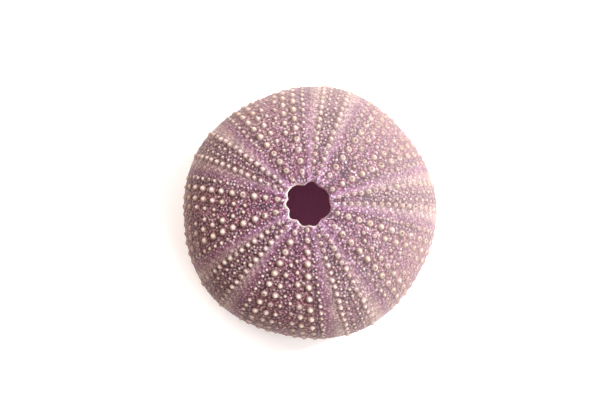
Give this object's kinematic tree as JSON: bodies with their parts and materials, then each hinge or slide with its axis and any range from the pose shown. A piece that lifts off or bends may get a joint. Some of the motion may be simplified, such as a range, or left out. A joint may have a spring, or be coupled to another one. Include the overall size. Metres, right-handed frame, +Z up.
{
  "type": "sea urchin shell",
  "caption": "Hollow domed sea urchin shell in mauve calcite with rows of cream tubercles, an open crown and a mouth opening below, resting on a flat ring.",
  "frame": {"origin": "on the axis of five-fold symmetry, in the plane that the shell rests on", "axes": "+Z up along the axis of symmetry, from the mouth opening to the open crown; +X and +Y in the resting plane, one ambulacrum 5 degrees anticlockwise of +X"},
  "size_m": [0.05, 0.0501, 0.0256],
  "materials": {
    "shell": "dull calcite, mauve ground with cream tubercles"
  },
  "bodies": {
    "root": {"test": "shell"}
  },
  "joints": []
}
